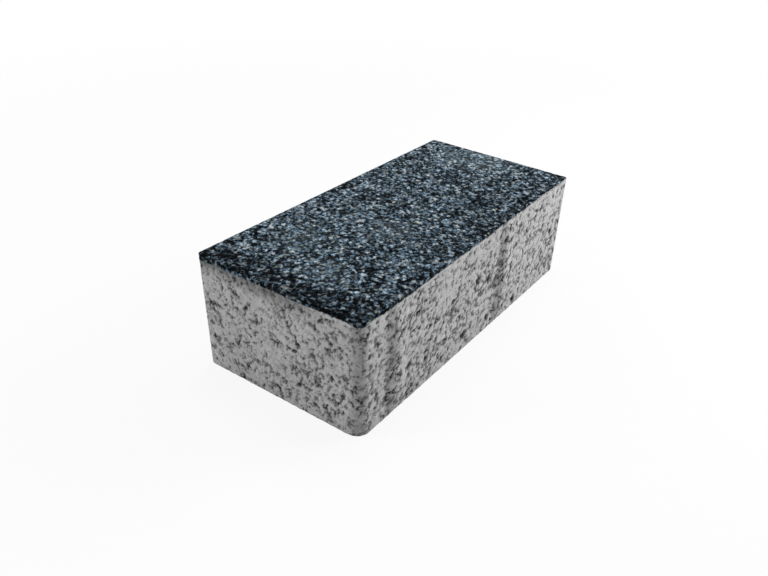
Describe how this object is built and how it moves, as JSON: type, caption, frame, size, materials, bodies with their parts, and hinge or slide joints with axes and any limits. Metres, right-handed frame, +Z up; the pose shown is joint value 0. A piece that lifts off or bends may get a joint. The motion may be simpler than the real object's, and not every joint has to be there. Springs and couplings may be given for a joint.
{
  "type": "concrete paver",
  "caption": "Rectangular two-layer concrete paver with a dark granular facing, rounded corners and low spacer nibs on its long sides.",
  "frame": {"origin": "middle of the bed face, at the base of the stone", "axes": "+X along the length, +Y across the width, +Z up from the bed face to the wearing face"},
  "size_m": [0.197, 0.097, 0.062],
  "materials": {
    "base_concrete": "rough grey pressed concrete",
    "facing_concrete": "near-black facing concrete with fine pale blue-grey grain"
  },
  "bodies": {
    "root": {"base_layer": "base_concrete", "face_layer": "facing_concrete"}
  },
  "joints": []
}
